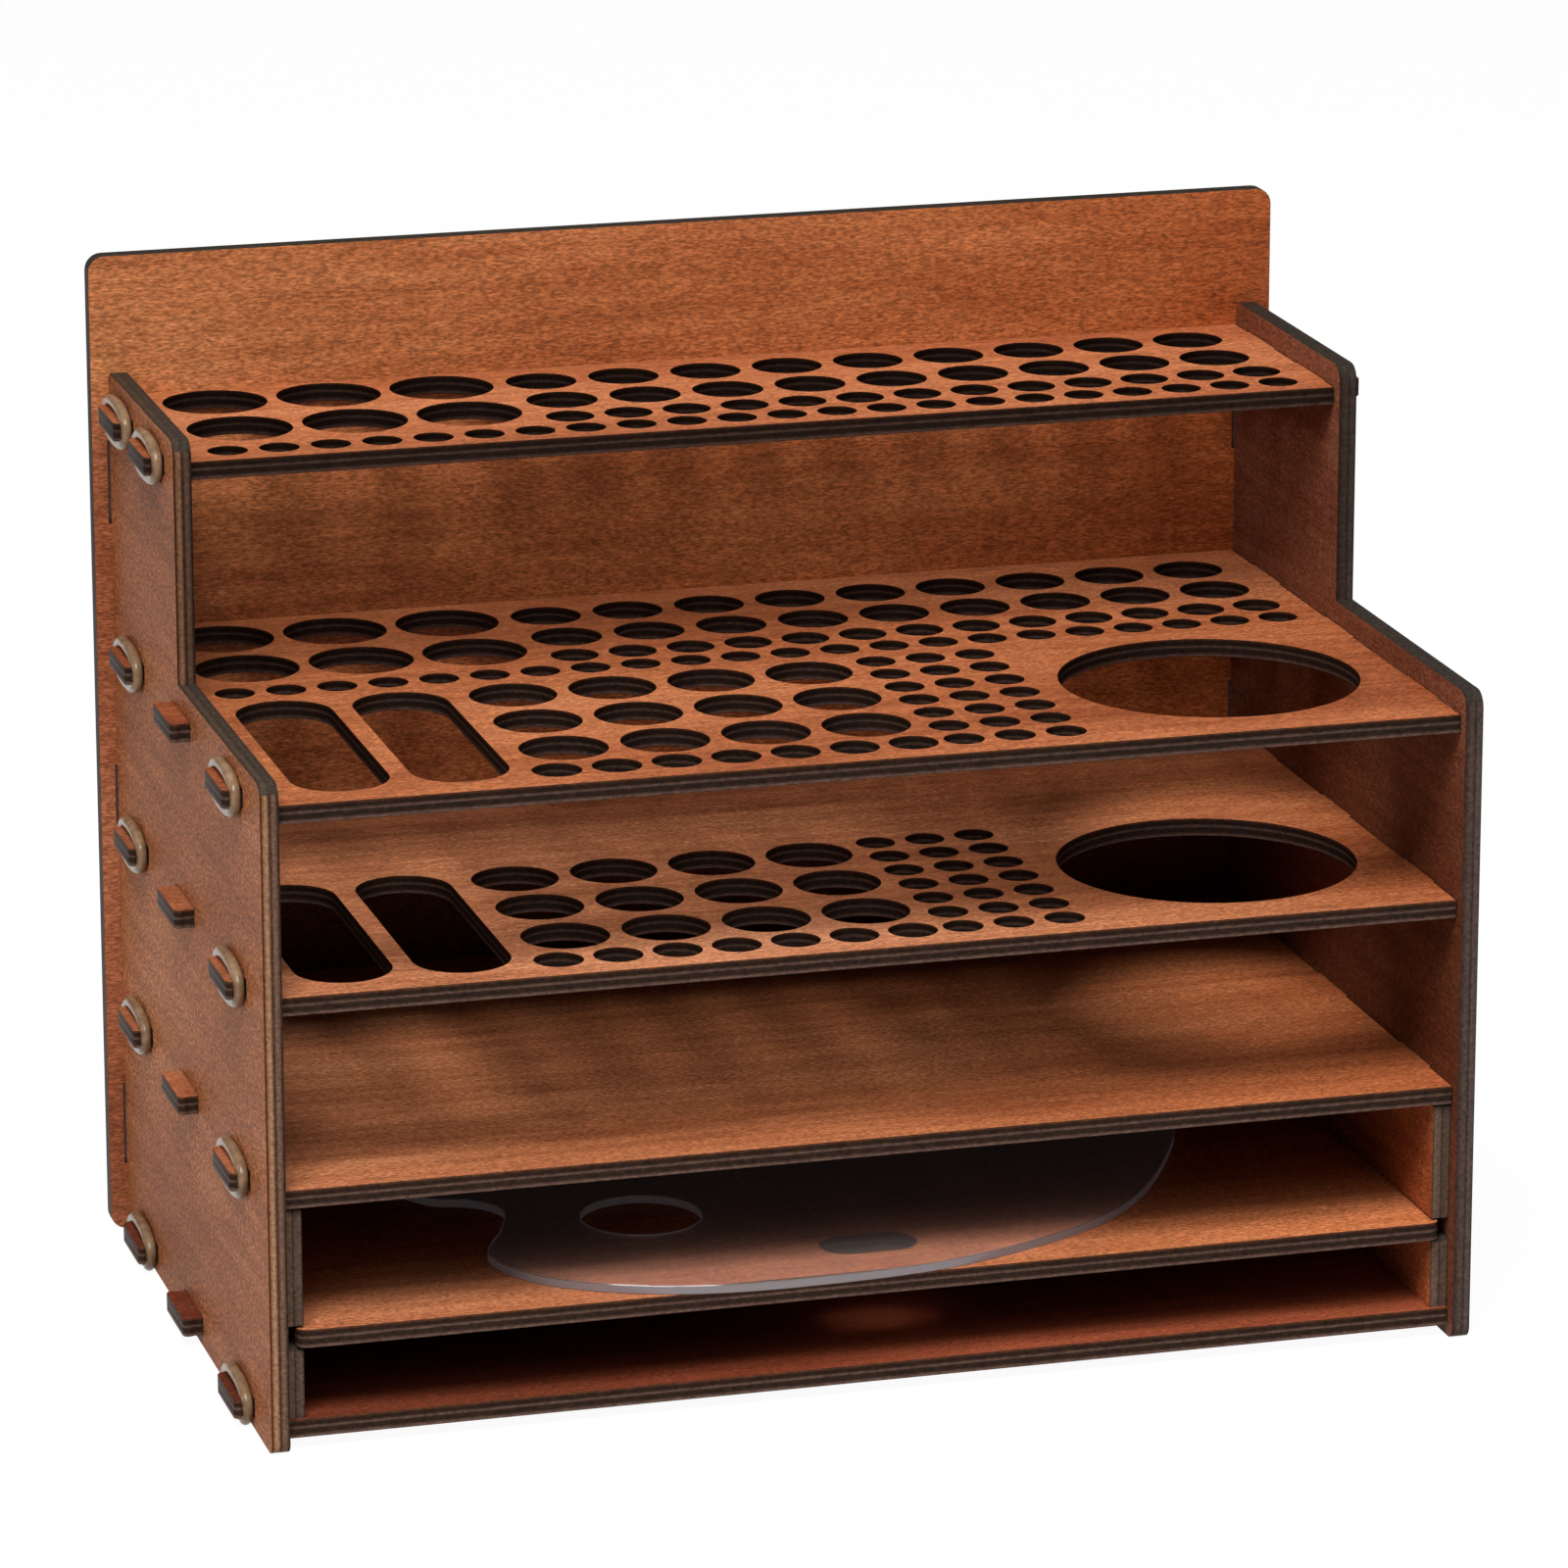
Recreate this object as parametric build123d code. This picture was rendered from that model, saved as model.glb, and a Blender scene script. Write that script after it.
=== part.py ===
from build123d import *
import os

# Hobby workstation organizer: a rack for paint pots, bottles and brushes, cut from 6 mm plywood.
# Two stepped side panels carry five shelves on tabs. The tabs pass through slots in the panels,
# and rubber rings round the notched tabs lock them there. A back panel closes the rear, and a
# pull-out shelf with a loose clear palette runs in grooves between glued strips.
#
# Millimetres. X is to the right, Y to the back and Z up. The parts are drawn with y = 0 under the
# front edges of the side panels, and written with the origin on the table at the middle of the
# whole footprint.

# ---- plywood and fits ----
PLY = 6.0
SLOT_FIT = 0.2            # gap all round a shelf tab in its slot
BACK_SLOT_FIT = 0.8       # gap each side of a side panel's tab in the back panel, seen as a dark line
TAB_PROUD = 6.5           # how far every tab stands out past the panel it goes through

# ---- width, and shelf heights from upper face to upper face ----
RACK_WIDTH = 400.0        # over the outer faces of the side panels
BOTTOM_TOP = 10.0         # above the table
BOTTOM_TO_PLAIN = 76.0
PLAIN_TO_LOWER_HOLDER = 63.0
LOWER_TO_UPPER_HOLDER = 62.0
UPPER_HOLDER_TO_TOP = 80.0
SHELF_RECESS = 4.0        # front edge of a shelf behind the front edges of the side panels
TOP_SHELF_RECESS = 5.0

# ---- side panels ----
PANEL_ABOVE_SHELF = 8.0   # a side panel's upper edges above the shelf next to them
PANEL_CORNER = 10.0
PANEL_FOOT_CORNER = 4.0
PANEL_REAR_CORNER = 3.0

# ---- back panel ----
BACK_RISE = 39.0          # above the side panels
BACK_OVERHANG = 6.0       # past the outer face of each side panel
BACK_CORNER = 9.0
REAR_TAB_HEIGHT = 28.0
REAR_TAB_FROM_END = 37.5  # centre of the lowest and highest tab, from the side panel's ends

# ---- tabs on the shelves ----
LOCK_TAB = 35.0           # width along y of a tab that takes a ring
NOTCH_DEPTH = 4.2
TAB_HEAD = 2.3            # thickness of the head outside the ring
PLAIN_TAB = 29.0
TAB_CORNER = 3.0          # cut off the outer corners of the tabs, which are rounded in the real rack
LOCK_TAB_CORNER = 1.8
TAB_FROM_FRONT = 43.0     # centre of the front tab behind the side panel's front edge
TAB_FROM_BACK = 33.0
TOP_TAB_FROM_STEP = 32.0
TOP_TAB_FROM_BACK = 24.0

# ---- rubber rings ----
CORD = 3.8                # thickness of the rubber cord
RING_GAP = 0.1            # between the cord and the neck of its tab
RING_CORNER = 1.2

# ---- holes ----
POT_HOLE = 34.5
BOTTLE_HOLE = 23.5
JAR_HOLE = 28.5
WIDE_BRUSH_HOLE = 15.8
BRUSH_HOLE = 13.0
CUP_HOLE = 98.5
LONG_SLOT_WIDTH = 31.5
LONG_SLOT_LENGTH = 110.5
POT_SIDES = 12            # the repeated holes are cut with flats that touch the round hole
BOTTLE_SIDES = 10
BRUSH_SIDES = 8

# rows along the back of the top shelf and the upper holder shelf; margins are centre to panel face
POT_PITCH_X = 38.4
POT_PITCH_Y = 39.4
POT_COLUMNS = 3
POT_MARGIN = 25.8
BOTTLE_PITCH = 28.4
BOTTLE_MARGIN = 24.1
POTS_TO_BOTTLES = 34.1
POTS_TO_WIDE_ROW = 30.8
WIDE_ROW_PITCH = 19.77
WIDE_ROW_MARGIN = 17.3
BRUSH_ROW_PITCH = 17.0
BRUSH_ROW_MARGIN = 15.5
BOTTLES_TO_WIDE_ROW = 23.8
WIDE_ROW_TO_BRUSH_ROW = 16.8
BRUSH_ROW_FROM_FRONT = 12.5       # last row of the top shelf, from the shelf's front edge
TOP_ROW_FROM_BACK = 19.5          # rearmost row of the top shelf, from the back panel
UPPER_ROW_FROM_BACK = 23.0        # and of the upper holder shelf

# front group of the two holder shelves
FRONT_ROW_FROM_EDGE = 16.4        # front row, from the shelf's front edge
FRONT_ROW_PITCH = 19.2
FRONT_ROW_INSET = 8.4             # its ends past the jars' first and last columns
LONG_SLOT_COUNT = 2
SLOTS_TO_JARS = 37.5
JAR_PITCH = 33.2
JAR_ROWS = 3
FRONT_ROW_TO_JARS = 24.6
JARS_TO_BLOCK = 25.1
BLOCK_PITCH_X = 17.0
BLOCK_PITCH_Y = 16.5
BLOCK_COLUMNS = 3
BLOCK_ROWS = 7
BLOCK_TO_CUP = 8.85               # wood left between the block of brushes and the cup
CUP_MARGIN = 13.75                # wood left between the cup and the side panel
BLOCK_TO_REAR_ROWS = 18.6         # last row of the block to the brush row behind it

# ---- pull-out shelf, its strips and the palette ----
STRIP_LOWER_HEIGHT = 23.7
GROOVE = 7.0
STRIP_RECESS = 5.5
STRIP_REAR_GAP = 4.0
STRIP_CORNER = 2.0
BOARD_SIDE_GAP = 3.5
BOARD_SLIDE_GAP = 0.2
BOARD_FRONT_Y = 3.0
BOARD_REAR_GAP = 8.0
BOARD_CORNER = 4.0
FINGER_HOLE_WIDTH = 32.0
FINGER_HOLE_DEPTH = 18.0
FINGER_HOLE_X = 3.5
FINGER_HOLE_FROM_EDGE = 26.0
PALETTE_THICKNESS = 3.0
PALETTE_REST_GAP = 0.2
PALETTE_OVERHANG = 4.5            # past the front edge of the pull-out shelf
PALETTE_WIDTH = 272.0
PALETTE_DEPTH = 203.0
THUMB_HOLE = 39.5
THUMB_HOLE_X = -60.5
THUMB_HOLE_FROM_FRONT = 75.0
PALETTE_ARCS = 14                 # the outline is drawn with this many arcs

# ---- worked out from the above ----
INNER_X = RACK_WIDTH / 2 - PLY
OUTER_X = RACK_WIDTH / 2

PLAIN_TOP = BOTTOM_TOP + BOTTOM_TO_PLAIN
LOWER_HOLDER_TOP = PLAIN_TOP + PLAIN_TO_LOWER_HOLDER
UPPER_HOLDER_TOP = LOWER_HOLDER_TOP + LOWER_TO_UPPER_HOLDER
TOP_TOP = UPPER_HOLDER_TOP + UPPER_HOLDER_TO_TOP
STEP_HEIGHT = UPPER_HOLDER_TOP + PANEL_ABOVE_SHELF
SIDE_HEIGHT = TOP_TOP + PANEL_ABOVE_SHELF
BACK_HEIGHT = SIDE_HEIGHT + BACK_RISE
REAR_TAB_CENTRES = [REAR_TAB_FROM_END, SIDE_HEIGHT / 2, SIDE_HEIGHT - REAR_TAB_FROM_END]

# The depth is what the rows of holes add up to, from the front edge to the back panel.
FRONT_ROW_Y = SHELF_RECESS + FRONT_ROW_FROM_EDGE
BLOCK_DEPTH = (BLOCK_ROWS - 1) * BLOCK_PITCH_Y
REAR_ROWS_DEPTH = WIDE_ROW_TO_BRUSH_ROW + BOTTLES_TO_WIDE_ROW + BOTTLE_PITCH
BACK_FACE_Y = FRONT_ROW_Y + BLOCK_DEPTH + BLOCK_TO_REAR_ROWS + REAR_ROWS_DEPTH + UPPER_ROW_FROM_BACK
TOP_FRONT_Y = BACK_FACE_Y - TOP_ROW_FROM_BACK - REAR_ROWS_DEPTH - BRUSH_ROW_FROM_FRONT
STEP_DEPTH = TOP_FRONT_Y - TOP_SHELF_RECESS

POT_FIRST_X = -INNER_X + POT_MARGIN
POT_LAST_X = POT_FIRST_X + (POT_COLUMNS - 1) * POT_PITCH_X
CUP_X = INNER_X - CUP_MARGIN - CUP_HOLE / 2
GROUP_MIDDLE_Y = FRONT_ROW_Y + BLOCK_DEPTH / 2
BLOCK_LAST_X = CUP_X - CUP_HOLE / 2 - BLOCK_TO_CUP - BRUSH_HOLE / 2
BLOCK_FIRST_X = BLOCK_LAST_X - (BLOCK_COLUMNS - 1) * BLOCK_PITCH_X
JAR_FIRST_X = POT_FIRST_X + (LONG_SLOT_COUNT - 1) * POT_PITCH_X + SLOTS_TO_JARS
JAR_LAST_X = BLOCK_FIRST_X - JARS_TO_BLOCK

TAB_REAR_Y = BACK_FACE_Y - TAB_FROM_BACK
TAB_MIDDLE_Y = (TAB_FROM_FRONT + TAB_REAR_Y) / 2
LOWER_TABS = [(TAB_FROM_FRONT, True), (TAB_MIDDLE_Y, False), (TAB_REAR_Y, True)]
TOP_TABS = [(STEP_DEPTH + TOP_TAB_FROM_STEP, True), (BACK_FACE_Y - TOP_TAB_FROM_BACK, True)]
SHELF_TABS = {
    "bottom_shelf": (BOTTOM_TOP, LOWER_TABS),
    "plain_shelf": (PLAIN_TOP, LOWER_TABS),
    "lower_holder_shelf": (LOWER_HOLDER_TOP, LOWER_TABS),
    "upper_holder_shelf": (UPPER_HOLDER_TOP, LOWER_TABS),
    "top_shelf": (TOP_TOP, TOP_TABS),
}
GROOVE_FLOOR = BOTTOM_TOP + STRIP_LOWER_HEIGHT
BOARD_BOTTOM = GROOVE_FLOOR + BOARD_SLIDE_GAP
BOARD_TOP = BOARD_BOTTOM + PLY
BOARD_WIDTH = RACK_WIDTH - 2 * PLY - 2 * BOARD_SIDE_GAP
PALETTE_BOTTOM = BOARD_TOP + PALETTE_REST_GAP
PALETTE_FRONT_Y = BOARD_FRONT_Y - PALETTE_OVERHANG
REAR_END_Y = BACK_FACE_Y + PLY + TAB_PROUD
CENTRE_Y = (PALETTE_FRONT_Y + REAR_END_Y) / 2


def tab_width(locking):
    """Width along y of a shelf tab, and so of its slot."""
    return LOCK_TAB if locking else PLAIN_TAB


def side_panel(side):
    """Stepped side panel, -1 for left and 1 for right, with three tabs for the back panel."""
    corners = [
        (0, 0),
        (0, STEP_HEIGHT),
        (STEP_DEPTH, STEP_HEIGHT),
        (STEP_DEPTH, SIDE_HEIGHT),
        (BACK_FACE_Y, SIDE_HEIGHT),
        (BACK_FACE_Y, 0),
    ]
    profile = make_face(Polyline(*corners, close=True))
    rounded = {
        (0, 0): PANEL_FOOT_CORNER,
        (0, STEP_HEIGHT): PANEL_CORNER,
        (STEP_DEPTH, SIDE_HEIGHT): PANEL_CORNER,
        (BACK_FACE_Y, SIDE_HEIGHT): PANEL_REAR_CORNER,
    }
    for (y, z), radius in rounded.items():
        vertex = profile.vertices().sort_by_distance((y, z, 0))[0]
        profile = fillet(vertex, radius)
    tab_length = PLY + TAB_PROUD
    for z in REAR_TAB_CENTRES:
        tab = Pos(BACK_FACE_Y + tab_length / 2, z) * Rectangle(tab_length, REAR_TAB_HEIGHT)
        outer = tab.vertices().group_by(Axis.X)[-1]
        profile += chamfer(outer, TAB_CORNER)
    for top, tabs in SHELF_TABS.values():
        for y, locking in tabs:
            width = tab_width(locking) + 2 * SLOT_FIT
            profile -= Pos(y, top - PLY / 2) * Rectangle(width, PLY + 2 * SLOT_FIT)
    start = OUTER_X if side > 0 else -OUTER_X + PLY
    standing = Plane(origin=(start, 0, 0), x_dir=(0, 1, 0), z_dir=(1, 0, 0))
    return extrude(standing * profile, amount=-PLY)


def back_panel():
    """Flat rear panel with rounded corners and a slot for each tab of the side panels."""
    width = RACK_WIDTH + 2 * BACK_OVERHANG
    face = Pos(0, BACK_HEIGHT / 2) * RectangleRounded(width, BACK_HEIGHT, BACK_CORNER)
    for x in (-OUTER_X + PLY / 2, OUTER_X - PLY / 2):
        for z in REAR_TAB_CENTRES:
            slot = Rectangle(PLY + 2 * BACK_SLOT_FIT, REAR_TAB_HEIGHT + 2 * SLOT_FIT)
            face -= Pos(x, z) * slot
    standing = Plane(origin=(0, BACK_FACE_Y, 0), x_dir=(1, 0, 0), z_dir=(0, -1, 0))
    return extrude(standing * face, amount=-PLY)


def tab_outline(locking):
    """Right-hand tab in plan, from inside the shelf to its rounded end; a locking tab is notched."""
    half = tab_width(locking) / 2
    end = OUTER_X + TAB_PROUD
    tab = Pos((INNER_X - PLY + end) / 2, 0) * Rectangle(end - INNER_X + PLY, 2 * half)
    corner = LOCK_TAB_CORNER if locking else TAB_CORNER
    tab = chamfer(tab.vertices().group_by(Axis.X)[-1], corner)
    if locking:
        neck = TAB_PROUD - TAB_HEAD
        for edge in (-half, half):
            notch = Rectangle(neck, 2 * NOTCH_DEPTH)
            tab -= Pos(OUTER_X + neck / 2, edge) * notch
    return tab


def shelf_outline(front, tabs):
    """Plan of a shelf between the side panels, from its front edge to the back panel, with tabs."""
    depth = BACK_FACE_Y - front
    outline = Pos(0, front + depth / 2) * Rectangle(2 * INNER_X, depth)
    for y, locking in tabs:
        right = Pos(0, y) * tab_outline(locking)
        outline += right
        outline += mirror(right, about=Plane.YZ)
    return outline


def row(first_x, last_x, pitch, y):
    """Centres of a row of holes, as many as fit between its ends at no less than the pitch."""
    spaces = int((last_x - first_x) / pitch + 0.01)
    step = (last_x - first_x) / spaces
    return [(first_x + i * step, y) for i in range(spaces + 1)]


def holes(centres, diameter, sides):
    """Cuts with flats that stand round a circle of the diameter, so that the real thing still fits."""
    return [Pos(x, y) * RegularPolygon(diameter / 2, sides, major_radius=False) for x, y in centres]


def rear_rows(from_back):
    """Pots, bottles and two rows of brushes along the back of a shelf."""
    first = BACK_FACE_Y - from_back
    cuts = []
    for i in range(2):
        pots = row(POT_FIRST_X, POT_LAST_X, POT_PITCH_X, first - i * POT_PITCH_Y)
        cuts += holes(pots, POT_HOLE, POT_SIDES)
        start, end = POT_LAST_X + POTS_TO_BOTTLES, INNER_X - BOTTLE_MARGIN
        bottles = row(start, end, BOTTLE_PITCH, first - i * BOTTLE_PITCH)
        cuts += holes(bottles, BOTTLE_HOLE, BOTTLE_SIDES)
    wide_y = first - BOTTLE_PITCH - BOTTLES_TO_WIDE_ROW
    start, end = POT_LAST_X + POTS_TO_WIDE_ROW, INNER_X - WIDE_ROW_MARGIN
    cuts += holes(row(start, end, WIDE_ROW_PITCH, wide_y), WIDE_BRUSH_HOLE, BRUSH_SIDES)
    end = INNER_X - BRUSH_ROW_MARGIN
    brushes = row(-end, end, BRUSH_ROW_PITCH, wide_y - WIDE_ROW_TO_BRUSH_ROW)
    cuts += holes(brushes, BRUSH_HOLE, BRUSH_SIDES)
    return cuts


def front_group():
    """Long slots, jars, brushes and the cup in the front half of a holder shelf."""
    cuts = [Pos(CUP_X, GROUP_MIDDLE_Y) * Circle(CUP_HOLE / 2)]
    for i in range(LONG_SLOT_COUNT):
        slot = Rot(0, 0, 90) * SlotOverall(LONG_SLOT_LENGTH, LONG_SLOT_WIDTH)
        cuts.append(Pos(POT_FIRST_X + i * POT_PITCH_X, GROUP_MIDDLE_Y) * slot)
    for i in range(JAR_ROWS):
        y = FRONT_ROW_Y + FRONT_ROW_TO_JARS + i * JAR_PITCH
        cuts += holes(row(JAR_FIRST_X, JAR_LAST_X, JAR_PITCH, y), JAR_HOLE, POT_SIDES)
    start, end = JAR_FIRST_X - FRONT_ROW_INSET, JAR_LAST_X + FRONT_ROW_INSET
    wide = row(start, end, FRONT_ROW_PITCH, FRONT_ROW_Y)
    cuts += holes(wide, WIDE_BRUSH_HOLE, BRUSH_SIDES)
    for i in range(BLOCK_ROWS):
        y = FRONT_ROW_Y + i * BLOCK_PITCH_Y
        block = row(BLOCK_FIRST_X, BLOCK_LAST_X, BLOCK_PITCH_X, y)
        cuts += holes(block, BRUSH_HOLE, BRUSH_SIDES)
    return cuts


def shelf(name, cuts):
    """One fixed shelf: its plan with tabs, less its holes, cut through the plywood."""
    top, tabs = SHELF_TABS[name]
    front = TOP_FRONT_Y if name == "top_shelf" else SHELF_RECESS
    plan = shelf_outline(front, tabs)
    if cuts:
        plan = plan - cuts
    return extrude(Pos(0, 0, top - PLY) * plan, amount=PLY)


def ring(x, y, z):
    """Rubber ring pulled round the neck of a locking tab; round cord drawn with six flats."""
    half_width = LOCK_TAB / 2 - NOTCH_DEPTH + RING_GAP + CORD / 2
    half_height = PLY / 2 + RING_GAP + CORD / 2
    path_points = []
    for sy, sz in ((1, 1), (-1, 1), (-1, -1), (1, -1)):
        cy = sy * (half_width - RING_CORNER)
        cz = sz * (half_height - RING_CORNER)
        bend = [(cy + sy * RING_CORNER, cz), (cy, cz + sz * RING_CORNER)]
        path_points += bend if sy * sz > 0 else bend[::-1]
    path = Wire.make_polygon([(x, y + py, z + pz) for py, pz in path_points], close=True)
    start = Plane(origin=path @ 0, z_dir=path % 0)
    return sweep(start * RegularPolygon(CORD / 2, 6), path=path, transition=Transition.RIGHT)


def ring_pair(name, side):
    """The rings of one shelf on one side of the rack."""
    top, tabs = SHELF_TABS[name]
    x = side * (OUTER_X + (TAB_PROUD - TAB_HEAD) / 2)
    return Compound([ring(x, y, top - PLY / 2) for y, locking in tabs if locking])


def strip(side, bottom, top):
    """Plywood strip glued to the inside of a side panel; two of them leave the groove."""
    front = STRIP_RECESS
    length = BACK_FACE_Y - STRIP_REAR_GAP - front
    height = top - bottom
    centre = (side * (INNER_X - PLY / 2), front + length / 2, bottom + height / 2)
    bar = Pos(*centre) * Box(PLY, length, height)
    upper_front = bar.edges().filter_by(Axis.X).sort_by(lambda e: e.center().Z - e.center().Y)[-1]
    return fillet(upper_front, STRIP_CORNER)


def pull_out_shelf():
    """Sliding board with rounded front corners and an oval finger hole."""
    depth = BACK_FACE_Y - BOARD_REAR_GAP - BOARD_FRONT_Y
    plan = Pos(0, BOARD_FRONT_Y + depth / 2) * Rectangle(BOARD_WIDTH, depth)
    plan = fillet(plan.vertices().group_by(Axis.Y)[0], BOARD_CORNER)
    finger_y = BOARD_FRONT_Y + FINGER_HOLE_FROM_EDGE
    plan -= Pos(FINGER_HOLE_X, finger_y) * SlotOverall(FINGER_HOLE_WIDTH, FINGER_HOLE_DEPTH)
    return extrude(Pos(0, 0, BOARD_BOTTOM) * plan, amount=PLY)


def palette():
    """Clear painter's palette: a kidney outline with a thumb hole, lying on the pull-out shelf."""
    # Points of the outline as shares of the width and depth, from the front middle, anticlockwise.
    shape = [(-0.10, 0.0), (0.12, 0.035), (0.33, 0.185), (0.463, 0.45), (0.495, 0.64),
             (0.38, 0.875), (0.13, 0.99), (-0.16, 0.985), (-0.39, 0.88), (-0.497, 0.70),
             (-0.46, 0.555), (-0.405, 0.515), (-0.378, 0.455), (-0.395, 0.37), (-0.432, 0.245),
             (-0.385, 0.115), (-0.26, 0.025)]
    points = [(u * PALETTE_WIDTH, PALETTE_FRONT_Y + v * PALETTE_DEPTH) for u, v in shape]
    smooth = Spline(*points, periodic=True)
    marks = [smooth @ (i / (2 * PALETTE_ARCS)) for i in range(2 * PALETTE_ARCS)]
    marks.append(marks[0])
    arcs = [ThreePointArc(*marks[2 * i:2 * i + 3]) for i in range(PALETTE_ARCS)]
    plan = make_face(arcs)
    plan = Pos(0, PALETTE_FRONT_Y - plan.bounding_box().min.Y) * plan
    plan -= Pos(THUMB_HOLE_X, PALETTE_FRONT_Y + THUMB_HOLE_FROM_FRONT) * Circle(THUMB_HOLE / 2)
    return extrude(Pos(0, 0, PALETTE_BOTTOM) * plan, amount=PALETTE_THICKNESS)


parts = {
    "back_panel": back_panel(),
    "bottom_shelf": shelf("bottom_shelf", []),
    "plain_shelf": shelf("plain_shelf", []),
    "lower_holder_shelf": shelf("lower_holder_shelf", front_group()),
    "upper_holder_shelf": shelf("upper_holder_shelf", front_group() + rear_rows(UPPER_ROW_FROM_BACK)),
    "top_shelf": shelf("top_shelf", rear_rows(TOP_ROW_FROM_BACK)),
    "pull_out_shelf": pull_out_shelf(),
    "palette": palette(),
}
for side, word in ((-1, "left"), (1, "right")):
    parts[f"{word}_side_panel"] = side_panel(side)
    parts[f"{word}_lower_strip"] = strip(side, BOTTOM_TOP, GROOVE_FLOOR)
    parts[f"{word}_upper_strip"] = strip(side, GROOVE_FLOOR + GROOVE, PLAIN_TOP - PLY)
    for shelf_name in SHELF_TABS:
        parts[f"{word}_rings_{shelf_name}"] = ring_pair(shelf_name, side)

os.makedirs("parts", exist_ok=True)
for name, shape in parts.items():
    export_step(Pos(0, -CENTRE_Y, 0) * shape, f"parts/{name}.step")
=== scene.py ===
import bpy
import numpy as np
from mathutils import Matrix, Vector
from mathutils.geometry import tessellate_polygon


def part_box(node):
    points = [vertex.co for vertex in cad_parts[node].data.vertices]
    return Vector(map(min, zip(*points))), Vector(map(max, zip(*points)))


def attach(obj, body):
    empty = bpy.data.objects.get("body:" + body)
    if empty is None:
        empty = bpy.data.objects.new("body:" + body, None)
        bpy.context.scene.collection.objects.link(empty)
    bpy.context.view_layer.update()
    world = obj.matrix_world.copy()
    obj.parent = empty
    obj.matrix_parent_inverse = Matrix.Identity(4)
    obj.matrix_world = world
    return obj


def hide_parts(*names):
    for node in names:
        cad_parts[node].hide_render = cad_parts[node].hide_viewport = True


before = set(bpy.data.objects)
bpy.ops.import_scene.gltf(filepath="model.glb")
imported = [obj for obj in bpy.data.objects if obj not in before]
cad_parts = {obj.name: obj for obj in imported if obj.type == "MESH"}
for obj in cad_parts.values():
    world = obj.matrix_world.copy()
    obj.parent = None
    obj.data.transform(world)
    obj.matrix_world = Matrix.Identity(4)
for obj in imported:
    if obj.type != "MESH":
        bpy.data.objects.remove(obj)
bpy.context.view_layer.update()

# ---- Side panels ----
# Two stepped panels of 6 mm plywood, cut by laser and stained. Their front edges show the plies,
# the shelves' tabs come through slots in them, and three tabs hold each one in the back panel.
PLY = 0.006
FRONT_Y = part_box("left_side_panel")[0].y
SIDE_TAB_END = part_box("left_side_panel")[1].y
SIDE_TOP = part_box("left_side_panel")[1].z
SIDE_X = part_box("right_side_panel")[1].x
BACK_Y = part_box("back_panel")[0].y
SIDE_STEP_Z = 0.219
SIDE_STEP_Y = FRONT_Y + 0.124
ROUND_CORNER = 0.0055
FOOT_CORNER = 0.004
REAR_CORNER = 0.003
REAR_TAB = 0.028
REAR_TAB_FROM_END = 0.0375
REAR_TAB_Z = [REAR_TAB_FROM_END, SIDE_TOP / 2, SIDE_TOP - REAR_TAB_FROM_END]
REAR_TAB_CORNER = 0.003
SLOT_FIT = 0.0002
ARRIS = 0.00012
SHARP_TURN = np.radians(25)
SLIVER = 1e-14


def rounded_outline(corners, steps=7):
    """Closed outline through (u, v, radius) corners. At each corner the two sides are cut back by
    radius times tan(half the turn), and the gap is filled by the arc that touches both sides."""
    point = np.array([c[:2] for c in corners], float)
    radius = np.array([c[2] for c in corners], float)
    before = point - np.roll(point, 1, 0)
    after = np.roll(point, -1, 0) - point
    before /= np.linalg.norm(before, axis=1, keepdims=True)
    after /= np.linalg.norm(after, axis=1, keepdims=True)
    cross = before[:, 0] * after[:, 1] - before[:, 1] * after[:, 0]
    turn = np.arctan2(cross, (before * after).sum(1))
    centre = point - before * (radius * np.tan(np.abs(turn) / 2))[:, None]
    left = np.stack([-before[:, 1], before[:, 0]], 1) * np.sign(turn)[:, None]
    centre += left * radius[:, None]
    share = np.linspace(0, 1, steps)
    angle = np.arctan2(-left[:, 1], -left[:, 0])[:, None] + turn[:, None] * share
    arc = np.stack([np.cos(angle), np.sin(angle)], 2) * radius[:, None, None] + centre[:, None]
    keep = np.ones((len(corners), steps), bool)
    keep[radius == 0, 1:] = False
    return arc[keep]


def slot_hole(u, v, width, height):
    """Clockwise rectangle, for a tab to pass through."""
    w, h = width / 2, height / 2
    return np.array([(-w, -h), (-w, h), (w, h), (w, -h)]) + (u, v)


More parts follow.
